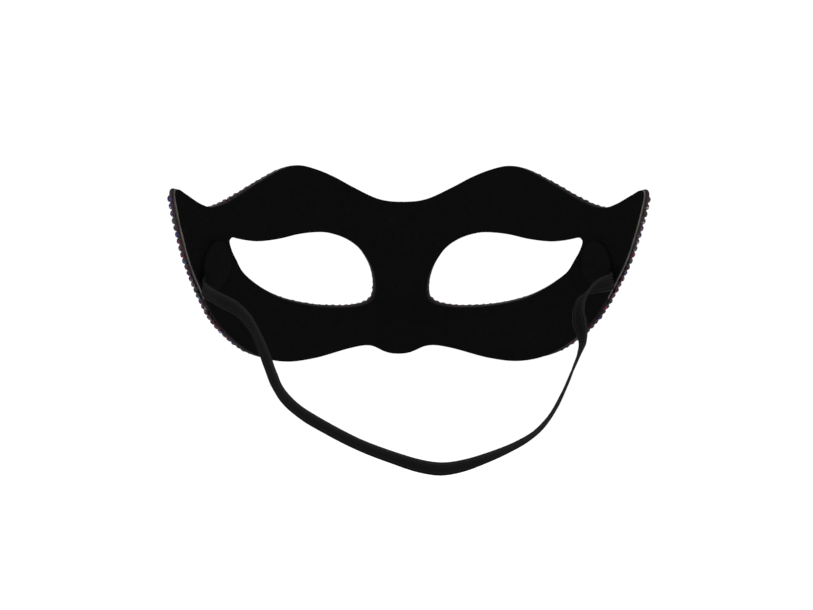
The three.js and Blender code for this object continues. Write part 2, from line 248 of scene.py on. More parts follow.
class MaskLook(bpy.types.PropertyGroup):
    """Colours and studio of the mask"""

    felt: shade("Felt", "Colour of the lining", FINISHES["black_felt"])
    pad: shade("Pads", "Colour of the strap pads", FINISHES["pad_felt"])
    plastic: shade("Plastic", "Colour of the shell", FINISHES["grey_plastic"])
    elastic: shade("Elastic", "Colour of the strap", FINISHES["black_elastic"])
    floor: shade("Floor", "Colour of the studio floor", (0.97, 0.97, 0.97))
    floor_height: length("Floor height", "Height of the studio floor", CAD_BOX[0].z - 0.15)


# Shader expressions


class Signal:
    """An output of a shader node. Arithmetic on it adds Math nodes."""

    def __init__(self, graph, socket):
        self.graph = graph
        self.socket = socket

    def math(self, operation, *values):
        return self.graph.node("ShaderNodeMath", {"operation": operation}, dict(enumerate(values)))

    def __add__(self, other):
        return self.math("ADD", self, other)

    def __sub__(self, other):
        return self.math("SUBTRACT", self, other)

    def __mul__(self, other):
        return self.math("MULTIPLY", self, other)

    def __pow__(self, other):
        return self.math("POWER", self, other)

    def __gt__(self, other):
        return self.math("GREATER_THAN", self, other)

    def __lt__(self, other):
        return self.math("LESS_THAN", self, other)

    def wave(self):
        return self.math("SINE", self)

    def size(self):
        return self.math("ABSOLUTE", self)


class Graph:
    """The nodes of one material, ending in a Principled shader"""

    def __init__(self, name):
        self.material = bpy.data.materials.new(name)
        self.material.use_nodes = True
        self.tree = self.material.node_tree
        self.tree.nodes.clear()

    def node(self, kind, settings=None, sockets=None, output=0):
        """One output of a new node. Its inputs take numbers, colours or signals."""
        made = self.tree.nodes.new(kind)
        for name, value in (settings or {}).items():
            if name == "stops":
                stops = made.color_ramp.elements
                stops.remove(stops[1])
                stops[0].position, stops[0].color = value[0][0], (*value[0][1], 1)
                for place, colour in value[1:]:
                    stops.new(place).color = (*colour, 1)
            else:
                setattr(made, name, value)
        for key, value in (sockets or {}).items():
            if isinstance(value, Signal):
                self.tree.links.new(value.socket, made.inputs[key])
            else:
                made.inputs[key].default_value = value
        return Signal(self, made.outputs[output])

    def place(self):
        """The place on the piece, in metres"""
        return self.node("ShaderNodeTexCoord", output="Object")

    def parts(self, vector):
        """The three numbers of a vector"""
        first = self.node("ShaderNodeSeparateXYZ", sockets={0: vector})
        return [Signal(self, output) for output in first.socket.node.outputs]

    def uv(self):
        """The two numbers of the piece's own UV map"""
        return self.parts(self.node("ShaderNodeUVMap", {"uv_map": "UVMap"}))[:2]

    def attribute(self, name):
        return self.node("ShaderNodeAttribute", {"attribute_name": name}, output="Fac")

    def noise(self, scale, detail=2.0, stretch=(1, 1, 1)):
        at = self.node("ShaderNodeMapping", sockets={"Vector": self.place(), "Scale": stretch})
        return self.node("ShaderNodeTexNoise", sockets={"Vector": at, "Scale": scale, "Detail": detail})

    def ramp(self, value, stops):
        return self.node("ShaderNodeValToRGB", {"stops": stops}, {0: value})

    def mix(self, factor, first, second, blend="MIX"):
        """Two colours mixed. The Mix node's colours are its inputs 6 and 7 and its output 2."""
        settings = {"data_type": "RGBA", "blend_type": blend}
        sockets = {0: factor, 6: as_colour(first), 7: as_colour(second)}
        return self.node("ShaderNodeMix", settings, sockets, output=2)

    def bump(self, height, strength, distance):
        sockets = {"Height": height, "Strength": strength, "Distance": distance}
        return self.node("ShaderNodeBump", sockets=sockets)

    def finish(self, **values):
        sockets = {key.replace("_", " "): as_colour(value) for key, value in values.items()}
        shader = self.node("ShaderNodeBsdfPrincipled", sockets=sockets)
        end = self.tree.nodes.new("ShaderNodeOutputMaterial")
        self.tree.links.new(shader.socket, end.inputs["Surface"])
        return self.material


def as_colour(value):
    """A colour of three numbers gets its fourth, and anything else stays."""
    if isinstance(value, Signal) or not hasattr(value, "__len__"):
        return value
    return (*value[:3], 1)


def scaled(colour, share):
    """A darker or brighter version of a colour"""
    return [c * share for c in colour]


def felt_finish(name, colour, deepest, palest):
    """Pressed felt: clumped fibres that lie in all directions, with paler and deeper places between two
    shares of its colour"""
    graph = Graph(name)
    fibres = graph.noise(2600, 4, (1, 0.35, 1)) + graph.noise(2600, 4, (0.35, 1, 1))
    clumps = graph.noise(420, 3)
    patches = graph.noise(60, 2)
    depth = fibres * 0.35 + clumps * 0.4 + patches * 0.2
    return graph.finish(
        Base_Color=graph.mix(depth, scaled(colour, deepest), scaled(colour, palest)),
        Roughness=1.0,
        Specular_IOR_Level=0.02,
        Normal=graph.bump(fibres * 0.5 + clumps, 0.6, 0.0002),
    )


TEMPLE_FROM = 0.075  # from the centre line to where the shell's trimmed edge shows


def plastic_finish(colour):
    """Moulded plastic, olive at the temples, and paler there along the edge by the felt"""
    graph = Graph("grey_plastic")
    trim = graph.noise(900, 3)
    cloud = graph.noise(160, 2)
    inner = graph.attribute("mark") < trim * 0.4 - 0.02
    temple = graph.parts(graph.place())[0].size() > TEMPLE_FROM
    olive = [c * share for c, share in zip(colour, (0.8, 0.7, 0.5))]
    body = graph.mix(cloud * temple, scaled(colour, 0.12), olive)
    felt_edge_pale = graph.mix(cloud, (0.02, 0.02, 0.02), (0.17, 0.17, 0.165))
    return graph.finish(
        Base_Color=graph.mix(inner * temple, body, felt_edge_pale),
        Roughness=trim * 0.25 + 0.35,
        Specular_IOR_Level=0.03,
        Normal=graph.bump(trim, 0.35, 0.0001),
    )


def bed_finish():
    """Dark clear glue that holds the stones"""
    graph = Graph("stone_glue")
    smear = graph.noise(500, 3)
    return graph.finish(
        Base_Color=graph.mix(smear, (0.008, 0.006, 0.007), (0.045, 0.032, 0.038)),
        Roughness=smear * 0.3 + 0.25,
        Specular_IOR_Level=0.03,
        Normal=graph.bump(smear, 0.5, 0.0002),
    )


FOOT_DROP = 0.034  # from the bridge down to where the stones are darkest with painted shade
FOOT_FADE = 45  # how fast they get their colour above that, for each metre


def stone_finish():
    """Dark foiled stones under a thin coating. Its tint drifts over the front and from stone to stone, and
    goes from red on the wearer's right to blue on the left. Each facet is painted darker or brighter than
    the next and one in twenty as a pale glint, as painted reflections, and the stones at the cheeks' foot
    are painted nearly black as shade."""
    graph = Graph("dark_stone")
    across, _, up = graph.parts(graph.place())
    facet = graph.attribute("facet")
    drift = (graph.noise(70, 1) - 0.5) * 1.6
    tint = drift + graph.attribute("tint") * 0.55 + facet * 0.12 + across * 2.2 + 0.17
    stops = [
        (0.0, (0.07, 0.11, 0.055)),
        (0.1, (0.17, 0.165, 0.16)),
        (0.22, (0.19, 0.09, 0.06)),
        (0.34, (0.27, 0.03, 0.055)),
        (0.45, (0.3, 0.05, 0.16)),
        (0.56, (0.2, 0.17, 0.23)),
        (0.67, (0.17, 0.09, 0.3)),
        (0.78, (0.08, 0.1, 0.34)),
        (0.88, (0.12, 0.24, 0.32)),
        (1.0, (0.16, 0.18, 0.16)),
    ]
    # Painted shade: below the cheeks the stones' colour is mixed towards near black, fully so at FOOT_DROP
    # under the bridge
    coat_and_foot_shade = graph.mix((up + FOOT_DROP) * FOOT_FADE, (0.03, 0.028, 0.032), graph.ramp(tint, stops))
    # Painted reflections: each facet is made darker or brighter at random, and one facet in twenty is
    # painted as a pale glint
    painted_facet_light = graph.mix(facet ** 1.4, (0.04, 0.04, 0.05), (0.75, 0.75, 0.75))
    glint = facet > 0.95
    return graph.finish(
        Base_Color=graph.mix(glint, graph.mix(1.0, coat_and_foot_shade, painted_facet_light, "MULTIPLY"), (0.3, 0.26, 0.32)),
        Metallic=0.85,
        Specular_Tint=(0.3, 0.28, 0.32),
        Roughness=0.14,
        Coat_Weight=0.08,
        Coat_Roughness=0.05,
    )


def elastic_finish(colour, ribs):
    """Woven elastic: lengthwise ribs, fine cross threads, a brighter woven selvedge at both edges, two
    cords between them, and painted shade that darkens the ends where they run in under the pads"""
    graph = Graph("black_elastic")
    across, from_end = graph.uv()
    ridge = (across * (ribs * 2 * math.pi)).wave()
    threads = (from_end * 260).wave()
    weave = ridge * 0.5 + threads * 0.3 + graph.noise(3000, 2) * 0.5
    from_middle = (across - 0.5).size() * 2
    edge = from_middle > 0.8
    cords = (from_middle - 0.5).size() < 0.06
    paler = weave * 0.5 + 0.3
    body = graph.mix(paler, scaled(colour, 0.25), scaled(colour, 0.85))
    selvedge = graph.mix(paler, colour, scaled(colour, 2.4))
    woven = graph.mix(edge + cords * 0.5, body, selvedge)
    return graph.finish(
        # Painted shade: within about three widths of each end the strap is darkened, down to 0.15 of its
        # colour, where it runs in under a pad
        Base_Color=graph.mix(from_end * 0.5 - 0.35, scaled(colour, 0.15), woven),
        Roughness=0.9,
        Specular_IOR_Level=0.03,
        Normal=graph.bump(weave, 0.5, 0.00015),
    )


def floor_finish(colour):
    """Plain pale studio floor"""
    graph = Graph("studio_floor")
    return graph.finish(Base_Color=colour, Roughness=0.9, Specular_IOR_Level=0.1)


# Form of the face

SURFACE_STEP = 0.00005  # over which the face's slopes are taken
EDGE_STEPS = 8  # edge points for each row of the outline
RINGS = 22  # rings between an eye hole and the rim
ROUND_STEPS = 6  # steps round the edge of a wall
FELT_ROUND = 0.00035  # how far the felt's edge is rounded
HARD_ROUND = 0.0002  # the same for the shell and the glue
WALL_GAP = 0.00003  # between two walls that lie on each other


def eased(share):
    """A share from 0 to 1 that starts and ends gently"""
    return share * share * (3 - 2 * share)


def relief(form, across, up):
    """How far the face stands forward of the plain wrap"""
    below = form.lean_from - up
    cheek = math.tan(form.cheek_lean) * (below + np.hypot(below, form.lean_blend)) / 2
    nose = eased(np.clip((form.nose_top - up) / (form.nose_top + form.cheek_drop), 0, 1))
    return cheek + form.nose_rise * nose * np.exp(-((across / form.nose_half_width) ** 2))


def face_points(form, across, up):
    """Points of the lining's inner face, with the bridge of the nose at the origin"""
    turn = across / form.wrap_radius
    radius = form.wrap_radius + relief(form, across, up)
    back = form.wrap_radius + relief(form, 0.0, 0.0)
    return np.stack([radius * np.sin(turn), back - radius * np.cos(turn), up], axis=-1)


def facing(form, across, up):
    """Directions out of the front of the mask, square to the face"""
    step = SURFACE_STEP
    sideways = face_points(form, across + step, up) - face_points(form, across - step, up)
    upward = face_points(form, across, up + step) - face_points(form, across, up - step)
    forward = np.cross(sideways, upward)
    return forward / np.linalg.norm(forward, axis=-1, keepdims=True)


def layer_points(form, places, depth):
    """Points that lie a depth in front of the lining's inner face"""
    across, up = places[..., 0], places[..., 1]
    return face_points(form, across, up) + facing(form, across, up) * np.asarray(depth)[..., None]


def smooth_curve(points, steps, closed):
    """Points on a centripetal Catmull-Rom curve through the given ones"""
    points = np.asarray(points, float)
    if closed:
        padded = np.vstack([points[-1:], points, points[:2]])
    else:
        padded = np.vstack([2 * points[0] - points[1], points, 2 * points[-1] - points[-2]])
    made = []
    for a, b, c, d in zip(padded, padded[1:], padded[2:], padded[3:]):
        first, middle, last = (math.sqrt(np.linalg.norm(v)) for v in (b - a, c - b, d - c))
        leave = ((b - a) / first - (c - a) / (first + middle) + (c - b) / middle) * middle
        arrive = ((c - b) / middle - (d - b) / (middle + last) + (d - c) / last) * middle
        for t in np.arange(steps) / steps:
            bend = (3 * (c - b) - 2 * leave - arrive) * t**2
            made.append(b + leave * t + bend + (2 * (b - c) + leave + arrive) * t**3)
    if not closed:
        made.append(points[-1])
    return np.array(made)


def shifted(points, distance, closed):
    """The line's points moved square to it, to its left hand side if the distance is positive"""
    if closed:
        along = np.roll(points, -1, axis=0) - np.roll(points, 1, axis=0)
    else:
        along = np.vstack([points[1:], points[-1:]]) - np.vstack([points[:1], points[:-1]])
    along = along / np.linalg.norm(along, axis=1, keepdims=True)
    return points + np.reshape(distance, (-1, 1)) * np.stack([-along[:, 1], along[:, 0]], axis=1)


def rim_line(form, steps, out):
    """The rim of one half, from the top of the centre line to its foot"""
    half = [
        (across * form.half_girth, up * (form.cheek_drop if up < 0 else form.brow_height))
        for across, up, *_ in RIM
    ]
    mirrored = [(-x, y) for x, y in reversed(half[1:-1])]
    curve = smooth_curve(half + mirrored, steps, True)[: (len(half) - 1) * steps + 1]
    rim = shifted(curve, out, False)
    rim[[0, -1], 0] = 0
    return rim


def eye_line(form, steps, inward):
    """The edge of one eye hole, moved into the hole"""
    middle = form.bridge_half + form.eye_half_width
    points = [
        (middle + form.eye_half_width * across, form.eye_half_height * up - form.eye_drop)
        for _, _, across, up, *_ in OUTLINE
    ]
    return shifted(smooth_curve(points, steps, True), -inward, True)


def stones_past(form, steps, overhang):
    """How far the stones stand past the shell, at each point of the rim and of the eye hole"""
    rim = [row[4] for row in RIM]
    eye = [row[5] for row in OUTLINE + RIM[:1]]
    at_rim = np.interp(np.arange((len(rim) - 1) * steps + 1) / steps, np.arange(len(rim)), rim)
    at_eye = np.interp(np.arange(len(OUTLINE) * steps) / steps, np.arange(len(eye)), eye)
    return at_rim * overhang, at_eye * overhang


def rim_and_centre(form, steps, out):
    """The rim of one half, closed by its centre line"""
    rim = rim_line(form, steps, out)
    centre_steps = (len(CENTRE) + 1) * steps
    shares = np.arange(1, centre_steps) / centre_steps
    heights = rim[-1, 1] + (rim[0, 1] - rim[-1, 1]) * shares
    return np.vstack([rim, np.stack([np.zeros_like(heights), heights], axis=1)]), len(rim) - 1


def placed(name, data):
    """A new object in the scene"""
    made = bpy.data.objects.new(name, data)
    bpy.context.scene.collection.objects.link(made)
    return made


def new_piece(name, points, faces, material, smooth=True, marks=None):
    """A mesh object at the origin with equal corners merged and its faces pointing out. marks is a number
    for each point, which the material can read as the attribute mark."""
    mesh = bpy.data.meshes.new(name)
    shape = bmesh.new()
    layer = None if marks is None else shape.verts.layers.float.new("mark")
    corners = [shape.verts.new(p) for p in points]
    for corner, mark in zip(corners, marks or []):
        corner[layer] = mark
    for face in faces:
        shape.faces.new([corners[i] for i in face]).smooth = smooth
    bmesh.ops.remove_doubles(shape, verts=shape.verts, dist=1e-7)
    bmesh.ops.delete(shape, geom=[v for v in shape.verts if not v.link_faces], context="VERTS")
    bmesh.ops.recalc_face_normals(shape, faces=shape.faces)
    shape.to_mesh(mesh)
    shape.free()
    mesh.materials.append(material)
    return placed(name, mesh)


def bands(loops, count):
    """Faces between each closed loop of count points and the next one"""
    return [
        (j * count + i, j * count + k, (j + 1) * count + k, (j + 1) * count + i)
        for j in range(loops - 1)
        for i, k in zip(range(count), (*range(1, count), 0))
    ]


def wall_piece(form, name, depths, rim_out, eye_in, edge_round, material):
    """A closed wall of the mask between two depths, with rounded edges. Its attribute mark runs from 0 on
    the wearer's side to 1 on the front."""
    low, high = depths
    bends = [math.pi * k / ROUND_STEPS for k in range(ROUND_STEPS + 1)]
    insets = [edge_round * (1 - math.sin(bend)) for bend in bends]
    levels = [(low + high) / 2 - (high - low) / 2 * math.cos(bend) for bend in bends]
    eyes = [eye_line(form, EDGE_STEPS, eye_in - inset) for inset in insets]
    rims = [rim_and_centre(form, EDGE_STEPS, rim_out - inset)[0] for inset in insets]
    rim_steps = rim_and_centre(form, EDGE_STEPS, rim_out)[1]
    shares = np.linspace(0, 1, RINGS + 1)
    loops = [(eyes[0] + (rims[0] - eyes[0]) * share, low) for share in shares]
    loops += list(zip(rims[1:-1], levels[1:-1]))
    loops += [(eyes[-1] + (rims[-1] - eyes[-1]) * share, high) for share in shares[::-1]]
    loops += list(zip(eyes[-2:0:-1], levels[-2:0:-1]))
    count = len(eyes[0])
    open_loops = range(RINGS, RINGS + ROUND_STEPS)  # they cover the rim and not the centre line
    points = []
    marks = []
    faces = []
    for side in SIDES.values():
        start = len(points)
        for places, depth in loops:
            points.extend(layer_points(form, places * (side, 1), depth))
            marks.extend([(depth - low) / (high - low)] * len(places))
        for j in range(len(loops)):
            here = start + j * count
            after = start + (j + 1) % len(loops) * count
            for i in range(rim_steps if j in open_loops else count):
                k = (i + 1) % count
                faces.append((here + i, here + k, after + k, after + i))
    return new_piece(name, points, faces, material, marks=marks)


# Layout of the stones

CLOSEST = 0.95  # least distance of two stones, as a share of that at which they touch
TOO_CLOSE = 0.8  # the same for a first estimate of a place, which is given up below it
REACH = 2  # pitches within which a stone looks for a second one
CENTRE_POINTS = 64  # of the line down the middle of the front
LEAST_CROSSING = 0.05  # of the directions to two stones, for a sure place against both
SOLVE_STEPS = 3
MOST_STONES = 3000
STONE_SIZES = (1, 0.75, 0.58)  # as shares of the largest, which are laid first


def inside(polygon, place):
    """Whether a place lies inside a closed outline"""
    x, y = polygon[:, 0], polygon[:, 1]
    x2, y2 = np.roll(x, -1), np.roll(y, -1)
    crossed = (y > place[1]) != (y2 > place[1])
    with np.errstate(divide="ignore", invalid="ignore"):
        hit = place[0] < (x2 - x) * (place[1] - y) / (y2 - y) + x
    return np.count_nonzero(crossed & hit) % 2 == 1


class StoneLayout:
    """Stones laid on one half of the front, in rows from its edges inwards, each against two others, and
    then small ones in the gaps"""

    def __init__(self, form, cut):
        self.form = form
        self.depth = form.shell_from + form.shell
        self.places = []
        self.points = np.full((MOST_STONES, 3), np.inf)
        self.sizes = np.zeros(MOST_STONES)
        past_rim, past_eye = stones_past(form, EDGE_STEPS, cut.overhang)
        rim = rim_line(form, EDGE_STEPS, past_rim - cut.diameter / 2)
        self.rim = np.vstack([rim, rim[:1]])
        self.eye = eye_line(form, EDGE_STEPS, past_eye - cut.diameter / 2)
        self.row(rim, False, cut.pitch)
        self.row(np.linspace(rim[-1], rim[0], CENTRE_POINTS), False, cut.pitch)
        self.row(self.eye, True, cut.pitch)
        for share in STONE_SIZES:
            self.fill(cut.pitch * share, cut.pitch * REACH)

    def point(self, place):
        return layer_points(self.form, np.asarray(place), self.depth)

    def distances(self, point):
        """How far the stones so far are from a point"""
        return np.linalg.norm(self.points[: len(self.places)] - point, axis=1)

    def crowded(self, point, size, share):
        """Whether a stone of a size would reach into another one"""
        room = (self.sizes[: len(self.places)] + size) / 2
        return bool(np.any(self.distances(point) < room * share))

    def add(self, place, size):
        """A stone, unless it would reach into another one"""
        point = self.point(place)
        if not self.crowded(point, size, CLOSEST):
            self.points[len(self.places)] = point
            self.sizes[len(self.places)] = size
            self.places.append(np.asarray(place, float))

    def row(self, line, closed, size):
        """Stones at equal distances along a line"""
        if closed:
            line = np.vstack([line, line[:1]])
        points = self.point(line)
        run = np.concatenate([[0], np.cumsum(np.linalg.norm(np.diff(points, axis=0), axis=1))])
        count = round(run[-1] / size)
        for step in range(count if closed else count + 1):
            at = run[-1] * step / count
            self.add([np.interp(at, run, line[:, 0]), np.interp(at, run, line[:, 1])], size)

    def against(self, pair, side, size):
        """The place on one side of a pair of stones where a stone of a size touches both, or None"""
        first, second = (self.places[i] for i in pair)
        apart = np.linalg.norm(self.points[pair[0]] - self.points[pair[1]])
        touch = (self.sizes[list(pair)] + size) / 2
        along = (second - first) / np.linalg.norm(second - first)
        foot = (apart**2 + touch[0] ** 2 - touch[1] ** 2) / (2 * apart)
        height = math.sqrt(max(0, touch[0] ** 2 - foot**2))
        place = first + foot * along + side * height * np.array([-along[1], along[0]])
        if not self.fits(place, size) or self.crowded(self.point(place), size, TOO_CLOSE):
            return None
        step = SURFACE_STEP
        for _ in range(SOLVE_STEPS):  # Newton's method for the two distances
            corners = self.point(np.array([place, place + (step, 0), place + (0, step)]))
            reach = np.stack([np.linalg.norm(corners - self.points[i], axis=1) for i in pair])
            slopes = (reach[:, 1:] - reach[:, :1]) / step
            if abs(np.linalg.det(slopes)) < LEAST_CROSSING:
                return None
            place = place - np.linalg.solve(slopes, reach[:, 0] - touch)
        return place if self.fits(place, size) else None

    def fits(self, place, size):
        """Whether a place lies on this half, clear of its mirror image at the centre line"""
        clear = place[0] > size * CLOSEST / 2
        return clear and inside(self.rim, place) and not inside(self.eye, place)

    def fill(self, size, reach):
        """Stones of one size wherever they touch two others"""
        front = 0
        while front < len(self.places):
            near = np.flatnonzero(self.distances(self.points[front]) < reach)
            for other in near[near != front]:
                for side in SIDES.values():
                    place = self.against((front, other), side, size)
                    if place is not None:
                        self.add(place, size)
            front += 1

    def both_halves(self):
        """Places and sizes of the stones on the whole front"""
        places = np.array(self.places)
        sizes = self.sizes[: len(places)]
        twice = places[:, 0] > SURFACE_STEP
        return np.vstack([places, places[twice] * (-1, 1)]), np.concatenate([sizes, sizes[twice]])


# Rings of a stone's corners, from its back up to its table.
# Columns: corners for each sector, radius, height, offset in corners
STONE_SECTORS = 8
STONE_RINGS = [
    (1, 0.42, 0.0, 0),
    (2, 0.5, 0.45, 0),
    (1, 0.48, 0.8, 0.5),
    (1, 0.34, 1.0, 0),
]


def cut_stone(material):
    """One round stone, one across and one high: a back, facets up to the girdle, a crown of facets and a
    table"""
    points = []
    starts = []
    for corners, radius, height, offset in STONE_RINGS:
        starts.append(len(points))
        count = corners * STONE_SECTORS
        for i in range(count):
            turn = 2 * math.pi * (i + offset) / count
            points.append((radius * math.cos(turn), radius * math.sin(turn), height))
    back, girdle, star, table = starts
    faces = [range(start, start + STONE_SECTORS) for start in (back, table)]
    for i in range(STONE_SECTORS):
        k = (i + 1) % STONE_SECTORS
        first, middle, last = girdle + 2 * i, girdle + 2 * i + 1, girdle + 2 * k
        faces += [
            (back + i, first, middle),
            (back + i, middle, last, back + k),
            (first, middle, star + i),
            (middle, last, star + i),
            (last, star + k, table + k, star + i),
            (star + i, table + k, table + i),
        ]
    return new_piece("cut_stone", points, faces, material, smooth=False)


class Tree:
    """A Geometry Nodes tree whose inputs have names"""

    def __init__(self, name):
        self.tree = bpy.data.node_groups.new(name, "GeometryNodeTree")
        self.tree.interface.new_socket("Geometry", in_out="INPUT", socket_type="NodeSocketGeometry")
        self.tree.interface.new_socket("Geometry", in_out="OUTPUT", socket_type="NodeSocketGeometry")
        self.start = self.tree.nodes.new("NodeGroupInput")
        self.ids = {}

    def input(self, name, kind, value):
        socket = self.tree.interface.new_socket(name, in_out="INPUT", socket_type=kind)
        self.ids[socket.identifier] = value
        return self.start.outputs[name]

    def node(self, kind, settings=None, sockets=None, output=None):
        """One output of a new node. Its inputs take values or other nodes' outputs."""
        made = self.tree.nodes.new(kind)
        for name, value in (settings or {}).items():
            setattr(made, name, value)
        for key, value in (sockets or {}).items():
            if isinstance(key, str):
                key = next(i for i, s in enumerate(made.inputs) if s.name == key and s.enabled)
            socket = made.inputs[key]
            if isinstance(value, bpy.types.NodeSocket):
                self.tree.links.new(value, socket)
            else:
                socket.default_value = value
        return next(s for s in made.outputs if s.enabled and output in (None, s.name))

    def end(self, geometry):
        self.tree.links.new(geometry, self.tree.nodes.new("NodeGroupOutput").inputs[0])

    def applied(self, host, name):
        """The tree's result on an object, as a plain mesh object that replaces it"""
        modifier = host.modifiers.new(name, "NODES")
        modifier.node_group = self.tree
        for identifier, value in self.ids.items():
            modifier[identifier] = value
        bpy.context.view_layer.update()
        evaluated = host.evaluated_get(bpy.context.evaluated_depsgraph_get())
        mesh = bpy.data.meshes.new_from_object(evaluated)
        host.modifiers.remove(modifier)
        bpy.data.objects.remove(host)
        mesh.name = name
        return placed(name, mesh)


def setting_tree(cut, stone, material):
    """Sets a stone on each point, tilted and turned at random, and stores a tint for each stone and a
    brightness for each facet"""
    tree = Tree("set_stones")
    diameter = tree.input("Diameter", "NodeSocketFloat", cut.diameter)
    height = tree.input("Height", "NodeSocketFloat", cut.height)
    tilt = tree.input("Tilt", "NodeSocketFloat", cut.tilt)
    seed = tree.input("Seed", "NodeSocketInt", cut.seed)
    model = tree.input("Stone", "NodeSocketObject", stone)
    finish = tree.input("Material", "NodeSocketMaterial", material)
    number = {"data_type": "FLOAT"}
    vector = {"data_type": "FLOAT_VECTOR"}

    def random(kind, low, high):
        return tree.node("FunctionNodeRandomValue", kind, {"Min": low, "Max": high, "Seed": seed})

    def vector_math(operation, sockets):
        return tree.node("ShaderNodeVectorMath", {"operation": operation}, sockets)

    def stored(stones, name, domain):
        sockets = {"Geometry": stones, "Name": name, "Value": random(number, 0.0, 1.0)}
        return tree.node("GeometryNodeStoreNamedAttribute", {**number, "domain": domain}, sockets)

    lean = vector_math("SCALE", {"Vector": random(vector, (-1, -1, -1), (1, 1, 1)), "Scale": tilt})
    front = tree.node("GeometryNodeInputNamedAttribute", vector, {"Name": "facing"})
    leaning = vector_math("ADD", {0: front, 1: lean})
    turned = tree.node("FunctionNodeAlignRotationToVector", {"axis": "Z"}, {"Vector": leaning})
    shape = tree.node("GeometryNodeObjectInfo", None, {"Object": model}, "Geometry")
    largest = tree.node("ShaderNodeCombineXYZ", None, {"X": diameter, "Y": diameter, "Z": height})
    share = tree.node("GeometryNodeInputNamedAttribute", number, {"Name": "share"})
    scale = vector_math("SCALE", {"Vector": largest, "Scale": share})
    sockets = {"Points": tree.start.outputs[0], "Instance": shape, "Rotation": turned, "Scale": scale}
    stones = tree.node("GeometryNodeInstanceOnPoints", None, sockets)
    spin = random(vector, (0, 0, 0), (0, 0, 2 * math.pi))
    sockets = {"Instances": stones, "Rotation": spin, "Local Space": True}
    stones = stored(tree.node("GeometryNodeRotateInstances", None, sockets), "tint", "INSTANCE")
    stones = tree.node("GeometryNodeRealizeInstances", None, {"Geometry": stones})
    stones = stored(stones, "facet", "FACE")
    tree.end(tree.node("GeometryNodeSetMaterial", None, {"Geometry": stones, "Material": finish}))
    return tree


# Strap and pads

STRAP_STEPS = 4  # lengths for each point of the route
RIBS = 7
SECTION_STEPS = 32  # across one face of the strap
BEAD = 0.16  # half width of the rounded selvedge, as a share of the strap's half width
RIB_LOW = 0.68  # the strap's half thickness between two ribs, as a share of that at its edges
RIB_RISE = 0.1  # how much higher a rib is
PAD_SECTORS = 64
PAD_RINGS = 18
PAD_COVER = 0.62  # how far from its middle line the strap lifts a pad, as a share of its width
PAD_ROOM = 0.0006  # between a pad's underside and the face, beyond the strap's thickness
PAD_DOME = 0.45  # share of the lift that shows on top of a pad
PAD_BULGE = 0.03  # how far a pad's side swells out, as a share of its half width
PAD_SIDE = (0.25, 0.5, 0.75)  # the rings of its side, as shares of the way down


def strap_line():
    """Middle line of the strap, and the directions of its width"""
    route = np.array(STRAP_ROUTE)
    line = smooth_curve(route[:, :3], STRAP_STEPS, False)
    along = np.gradient(line, axis=0)
    along = along / np.linalg.norm(along, axis=1, keepdims=True)
    turn = np.radians(np.interp(np.arange(len(line)) / STRAP_STEPS, np.arange(len(route)), route[:, 3]))
    upright = np.array([0, 0, 1]) - along * along[:, 2:]
    upright = upright / np.linalg.norm(upright, axis=1, keepdims=True)
    across = upright * np.cos(turn)[:, None] + np.cross(along, upright) * np.sin(turn)[:, None]
    return line, along, across


def strap_section(width, thickness):
    """Section of the elastic as rows of width, height and share of the width, once round"""
    shares = np.linspace(-1, 1, SECTION_STEPS + 1)
    from_bead = np.clip((np.abs(shares) - (1 - BEAD)) / BEAD, -1, 1)
    selvedge = np.sqrt(1 - from_bead**2)
    rib = RIB_LOW + RIB_RISE * np.abs(np.cos(shares * math.pi * RIBS / 2))
    height = np.where(np.abs(shares) > 1 - BEAD, selvedge, np.maximum(rib, selvedge)) * thickness / 2
    rows = [(s * width / 2, h, (s + 1) / 2) for s, h in zip(shares, height)]
    return rows + [(w, -h, s) for w, h, s in rows[-2:0:-1]]


def strap_piece(sizes, material):
    """The strap as a ribbed flat band along its route, and its middle line. Its UV map runs across the
    width from 0 to 1, and from 0 at the nearer end in widths of the strap."""
    line, along, across = strap_line()
    outward = np.cross(along, across)
    section = strap_section(sizes.width, sizes.thickness)
    sides = len(section)
    run = np.concatenate([[0], np.cumsum(np.linalg.norm(np.diff(line, axis=0), axis=1))])
    points = []
    marks = []
    for i in range(len(line)):
        for w, h, share in section:
            points.append(line[i] + across[i] * w + outward[i] * h)
            marks.append((share, min(run[i], run[-1] - run[i]) / sizes.width))
    ends = [range(start, start + sides) for start in (0, len(points) - sides)]
    piece = new_piece("strap_band", points, bands(len(line), sides) + ends, material)
    layer = piece.data.uv_layers.new(name="UVMap")
    for loop in piece.data.loops:
        layer.data[loop.index].uv = marks[loop.vertex_index]
    return piece, line


